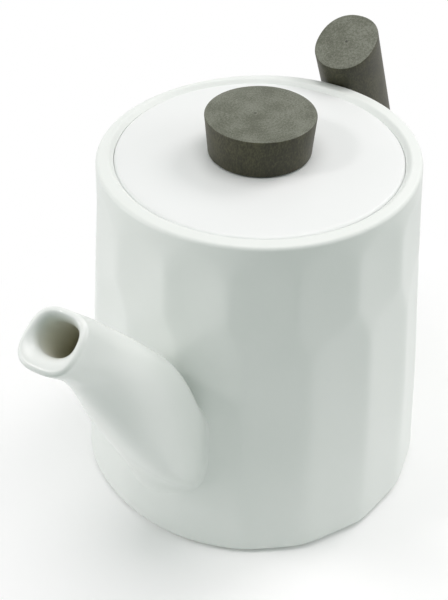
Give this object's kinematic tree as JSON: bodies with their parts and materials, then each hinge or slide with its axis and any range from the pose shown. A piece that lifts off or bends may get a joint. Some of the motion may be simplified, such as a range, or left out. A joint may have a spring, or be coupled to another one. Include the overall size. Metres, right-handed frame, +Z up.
{
  "type": "teapot with a rear grip",
  "caption": "Faceted porcelain teapot with a squarish spout, an inset lid with a wooden knob and a leaning wooden grip.",
  "frame": {"origin": "middle of the flat underside, on the pot's axis", "axes": "+Z up along the pot's axis, +X towards the spout, the grip stands on the -X side"},
  "size_m": [0.232, 0.1222, 0.1446],
  "materials": {
    "porcelain": "satin pale grey-green glaze",
    "spout_porcelain": "glossier pale grey-green glaze",
    "lid_porcelain": "satin white glaze",
    "dark_wood": "dark smoked wood, fine grain, dull",
    "peg_wood": "plain bamboo",
    "silicone": "milky silicone",
    "brass": "turned brass"
  },
  "bodies": {
    "pot": {"pot_body": "porcelain", "pot_floor": "porcelain", "spout": "spout_porcelain", "strainer": "porcelain", "grip_arm": "porcelain", "grip_rod": "dark_wood", "grip_peg": "peg_wood"},
    "lid": {"lid": "lid_porcelain", "lid_knob": "dark_wood", "knob_washer": "silicone", "knob_screw": "brass"}
  },
  "joints": [
    {"name": "lid_lift", "type": "slide", "parent": "pot", "child": "lid", "axis": [0, 0, 1], "range_m": [0, 0.045]}
  ]
}
